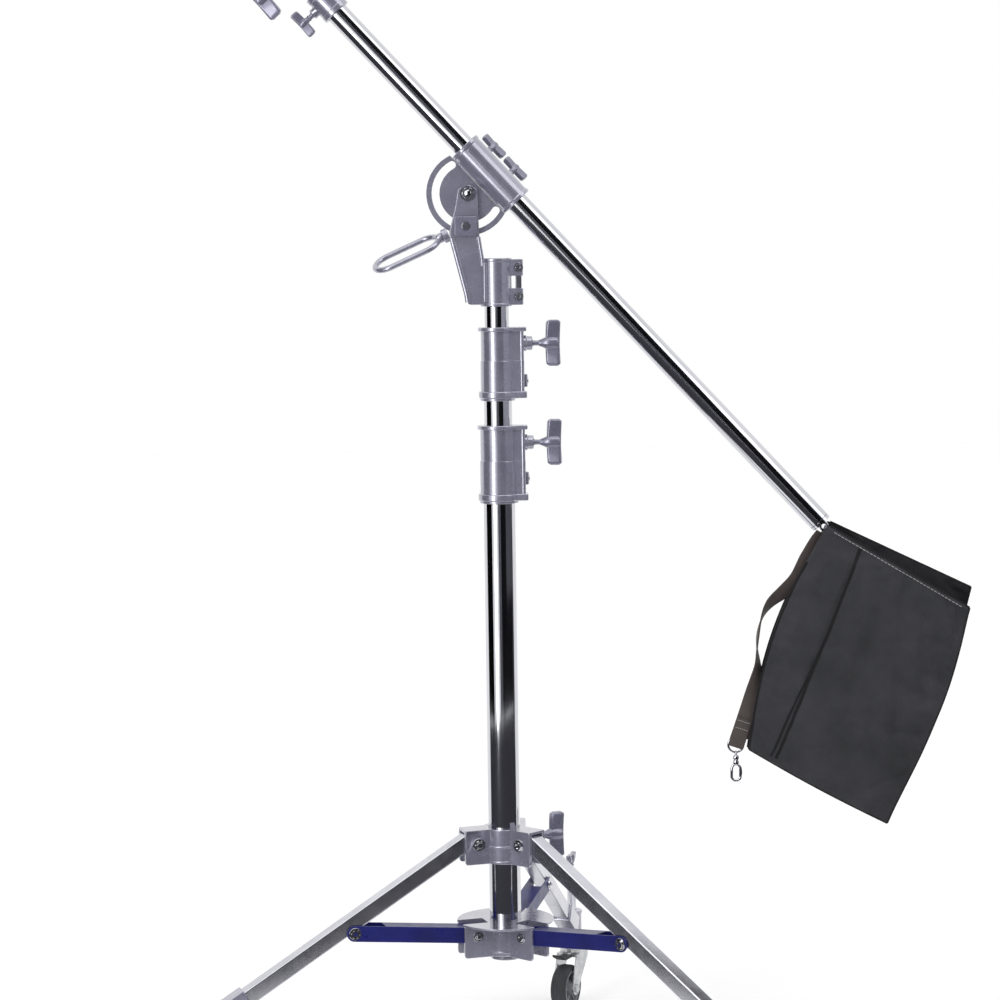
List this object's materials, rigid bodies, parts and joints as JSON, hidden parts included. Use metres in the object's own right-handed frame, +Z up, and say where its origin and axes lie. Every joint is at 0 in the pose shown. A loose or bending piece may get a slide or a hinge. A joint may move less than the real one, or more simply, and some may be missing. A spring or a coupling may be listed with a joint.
{
  "type": "overhead boom arm stand",
  "caption": "Wheeled boom stand: folding braced legs, levelling back leg, telescopic mast, tilting overhead boom arm with extension and grip head, and a saddle bag as counterweight.",
  "frame": {"origin": "on the floor, under the middle of the whole stand with its boom and bag", "axes": "+Z up along the mast, +X toward the bag end of the boom, which lies in the XZ plane"},
  "size_m": [1.2526, 0.9194, 1.8604],
  "materials": {
    "chrome": "polished",
    "casting": "satin",
    "plated_steel": "satin",
    "zinc": "satin",
    "blue_paint": "satin",
    "pedal": "matte",
    "tyre": "matte",
    "wheel_core": "matte",
    "bag": "matte",
    "webbing": "matte"
  },
  "bodies": {
    "stand": {"base_tube": "chrome", "foot_cap": "casting", "lower_hub": "casting", "brace_bolt_left": "chrome", "brace_bolt_right": "chrome", "brace_bolt_back": "chrome", "lower_collar": "casting"},
    "leg_collar": {"leg_hub": "casting", "leg_bolt_left": "chrome", "leg_bolt_right": "chrome", "leg_bolt_back": "chrome"},
    "leg_left": {"leg_tube_left": "plated_steel", "leg_foot_left": "casting"},
    "leg_right": {"leg_tube_right": "plated_steel", "leg_foot_right": "casting"},
    "leg_back": {"leg_tube_back": "plated_steel", "levelling_socket": "casting"},
    "levelling_screw": {"levelling_stem": "chrome"},
    "riser_one": {"riser_1": "chrome", "upper_collar": "casting"},
    "riser_two": {"riser_2": "chrome"},
    "head": {"head_yoke": "casting", "socket_clamp": "chrome", "pivot_bolt": "chrome", "lock_block": "casting"},
    "boom_pivot": {"tilt_plate": "casting", "boom_sleeve": "casting"},
    "boom": {"boom_tube": "chrome", "boom_collar": "casting", "end_hook": "chrome"},
    "extension": {"boom_extension": "chrome", "head_body": "casting"},
    "grip_disc": {"head_disc": "casting"},
    "bag": {"sandbag": "bag", "strap": "webbing"},
    "hook": {"snap_hook": "chrome"},
    "handle": {"loop_handle": "casting"},
    "hub_knob_turns": {"hub_knob": "casting"},
    "lower_knob_turns": {"lower_knob": "casting"},
    "upper_knob_turns": {"upper_knob": "casting"},
    "sleeve_knob_front_turns": {"sleeve_knob_front": "casting"},
    "sleeve_knob_rear_turns": {"sleeve_knob_rear": "casting"},
    "boom_collar_knob_turns": {"boom_collar_knob": "casting"},
    "head_knob_turns": {"head_knob": "casting"},
    "levelling_knob_turns": {"levelling_knob": "casting"},
    "brace_arm_left": {"brace_left": "blue_paint"},
    "caster_left": {"caster_fork_left": "zinc"},
    "wheel_left": {"caster_wheel_left": "wheel_core", "caster_tyre_left": "tyre"},
    "pedal_left": {"brake_pedal_left": "pedal"},
    "brace_arm_right": {"brace_right": "blue_paint"},
    "caster_right": {"caster_fork_right": "zinc"},
    "wheel_right": {"caster_wheel_right": "wheel_core", "caster_tyre_right": "tyre"},
    "pedal_right": {"brake_pedal_right": "pedal"},
    "brace_arm_back": {"brace_back": "blue_paint"},
    "caster_back": {"caster_fork_back": "zinc"},
    "wheel_back": {"caster_wheel_back": "wheel_core", "caster_tyre_back": "tyre"},
    "pedal_back": {"brake_pedal_back": "pedal"}
  },
  "joints": [
    {"name": "hub_slide", "type": "slide", "parent": "stand", "child": "leg_collar", "axis": [0, 0, 1], "range_m": [0, 0.27968]},
    {"name": "leg_fold_left", "type": "hinge", "parent": "leg_collar", "child": "leg_left", "pos_m": [-0.15488, -0.0709, 0.4], "axis": [0.3007, -0.9537, 0], "range_deg": [0, 44.8]},
    {"name": "brace_fold_left", "type": "hinge", "parent": "stand", "child": "brace_arm_left", "pos_m": [-0.1587, -0.0721, 0.254], "axis": [-0.3007, 0.9537, 0], "range_deg": [0, 69.4]},
    {"name": "leg_fold_right", "type": "hinge", "parent": "leg_collar", "child": "leg_right", "pos_m": [-0.07371, -0.0889, 0.4], "axis": [0.6756, 0.7373, 0], "range_deg": [0, 44.8]},
    {"name": "brace_fold_right", "type": "hinge", "parent": "stand", "child": "brace_arm_right", "pos_m": [-0.07076, -0.0916, 0.254], "axis": [-0.6756, -0.7373, 0], "range_deg": [0, 69.4]},
    {"name": "leg_fold_back", "type": "hinge", "parent": "leg_collar", "child": "leg_back", "pos_m": [-0.0979, -0.00979, 0.4], "axis": [-0.9724, 0.2334, 0], "range_deg": [0, 44.8]},
    {"name": "brace_fold_back", "type": "hinge", "parent": "stand", "child": "brace_arm_back", "pos_m": [-0.09696, -0.0059, 0.254], "axis": [0.9724, -0.2334, 0], "range_deg": [0, 69.4]},
    {"name": "levelling_slide", "type": "slide", "parent": "leg_back", "child": "levelling_screw", "axis": [0, 0, -1], "range_m": [0, 0.03]},
    {"name": "caster_swivel_left", "type": "hinge", "parent": "leg_left", "child": "caster_left", "pos_m": [-0.58596, -0.20682, 0], "axis": [0, 0, 1], "continuous": true},
    {"name": "wheel_spin_left", "type": "hinge", "parent": "caster_left", "child": "wheel_left", "pos_m": [-0.59864, -0.23401, 0.04], "axis": [-0.9063, 0.4226, 0], "continuous": true},
    {"name": "brake_pedal_hinge_left", "type": "hinge", "parent": "caster_left", "child": "pedal_left", "pos_m": [-0.59623, -0.22884, 0.093], "axis": [0.9063, -0.4226, 0], "range_deg": [0, 12]},
    {"name": "caster_swivel_right", "type": "hinge", "parent": "leg_right", "child": "caster_right", "pos_m": [0.25954, -0.39426, 0], "axis": [0, 0, 1], "continuous": true},
    {"name": "wheel_spin_right", "type": "hinge", "parent": "caster_right", "child": "wheel_right", "pos_m": [0.24686, -0.42145, 0.04], "axis": [-0.9063, 0.4226, 0], "continuous": true},
    {"name": "brake_pedal_hinge_right", "type": "hinge", "parent": "caster_right", "child": "pedal_right", "pos_m": [0.24927, -0.41629, 0.093], "axis": [0.9063, -0.4226, 0], "range_deg": [0, 12]},
    {"name": "caster_swivel_back", "type": "hinge", "parent": "levelling_screw", "child": "caster_back", "pos_m": [0.00762, 0.42972, 0], "axis": [0, 0, 1], "continuous": true},
    {"name": "wheel_spin_back", "type": "hinge", "parent": "caster_back", "child": "wheel_back", "pos_m": [-0.00506, 0.40253, 0.04], "axis": [-0.9063, 0.4226, 0], "continuous": true},
    {"name": "brake_pedal_hinge_back", "type": "hinge", "parent": "caster_back", "child": "pedal_back", "pos_m": [-0.00265, 0.40769, 0.093], "axis": [0.9063, -0.4226, 0], "range_deg": [0, 12]},
    {"name": "riser_1_slide", "type": "slide", "parent": "stand", "child": "riser_one", "axis": [0, 0, 1], "range_m": [-0.035, 0.6]},
    {"name": "riser_2_slide", "type": "slide", "parent": "riser_one", "child": "riser_two", "axis": [0, 0, 1], "range_m": [-0.03, 0.6]},
    {"name": "head_pan", "type": "hinge", "parent": "riser_two", "child": "head", "pos_m": [-0.1091, -0.05647, 0], "axis": [0, 0, 1], "continuous": true},
    {"name": "loop_handle_turn", "type": "hinge", "parent": "head", "child": "handle", "pos_m": [-0.15476, -0.05647, 1.37026], "axis": [-0.9128, 0, -0.4083], "continuous": true},
    {"name": "boom_tilt", "type": "hinge", "parent": "head", "child": "boom_pivot", "pos_m": [-0.1508, -0.05647, 1.4206], "axis": [0, 1, 0], "range_deg": [-75, 12]},
    {"name": "boom_slide", "type": "slide", "parent": "boom_pivot", "child": "boom", "axis": [0.6794, 0, -0.7337], "range_m": [-0.25, 0.25]},
    {"name": "extension_slide", "type": "slide", "parent": "boom", "child": "extension", "axis": [-0.6794, 0, 0.7337], "range_m": [0, 0.5]},
    {"name": "grip_disc_turn", "type": "hinge", "parent": "extension", "child": "grip_disc", "pos_m": [-0.39582, -0.05647, 1.78793], "axis": [0.7337, 0, 0.6794], "continuous": true},
    {"name": "bag_swing", "type": "hinge", "parent": "boom", "child": "bag", "pos_m": [0.39937, -0.05647, 0.89344], "axis": [0, 1, 0], "range_deg": [-30, 30]},
    {"name": "snap_hook_swing", "type": "hinge", "parent": "bag", "child": "hook", "pos_m": [0.25896, -0.05647, 0.54778], "axis": [0, 1, 0], "range_deg": [-40, 60]},
    {"name": "hub_knob_turn", "type": "hinge", "parent": "leg_collar", "child": "hub_knob_turns", "pos_m": [-0.05622, -0.0403, 0.404], "axis": [0.9563, 0.2924, 0], "continuous": true},
    {"name": "lower_knob_turn", "type": "hinge", "parent": "stand", "child": "lower_knob_turns", "pos_m": [-0.0538, -0.05647, 1.032], "axis": [1, 0, 0], "continuous": true},
    {"name": "upper_knob_turn", "type": "hinge", "parent": "riser_one", "child": "upper_knob_turns", "pos_m": [-0.0538, -0.05647, 1.187], "axis": [1, 0, 0], "continuous": true},
    {"name": "sleeve_knob_front_turn", "type": "hinge", "parent": "boom_pivot", "child": "sleeve_knob_front_turns", "pos_m": [-0.11891, -0.03019, 1.48557], "axis": [0.4716, 0.766, 0.4367], "continuous": true},
    {"name": "sleeve_knob_rear_turn", "type": "hinge", "parent": "boom_pivot", "child": "sleeve_knob_rear_turns", "pos_m": [-0.08629, -0.03019, 1.45035], "axis": [0.4716, 0.766, 0.4367], "continuous": true},
    {"name": "boom_collar_knob_turn", "type": "hinge", "parent": "boom", "child": "boom_collar_knob_turns", "pos_m": [-0.38697, -0.05647, 1.698], "axis": [-0.7337, 0, -0.6794], "continuous": true},
    {"name": "head_knob_turn", "type": "hinge", "parent": "extension", "child": "head_knob_turns", "pos_m": [-0.44176, -0.05647, 1.7454], "axis": [-0.7337, 0, -0.6794], "continuous": true},
    {"name": "levelling_knob_turn", "type": "hinge", "parent": "levelling_screw", "child": "levelling_knob_turns", "pos_m": [0.00762, 0.42972, 0.2453], "axis": [0, 0, 1], "continuous": true}
  ],
  "couplings": [
    {"joint": "leg_fold_left", "follows": "hub_slide", "rad_per_m": 2.7932},
    {"joint": "brace_fold_left", "follows": "hub_slide", "rad_per_m": 4.3284},
    {"joint": "leg_fold_right", "follows": "hub_slide", "rad_per_m": 2.7932},
    {"joint": "brace_fold_right", "follows": "hub_slide", "rad_per_m": 4.3284},
    {"joint": "leg_fold_back", "follows": "hub_slide", "rad_per_m": 2.7932},
    {"joint": "brace_fold_back", "follows": "hub_slide", "rad_per_m": 4.3284}
  ]
}
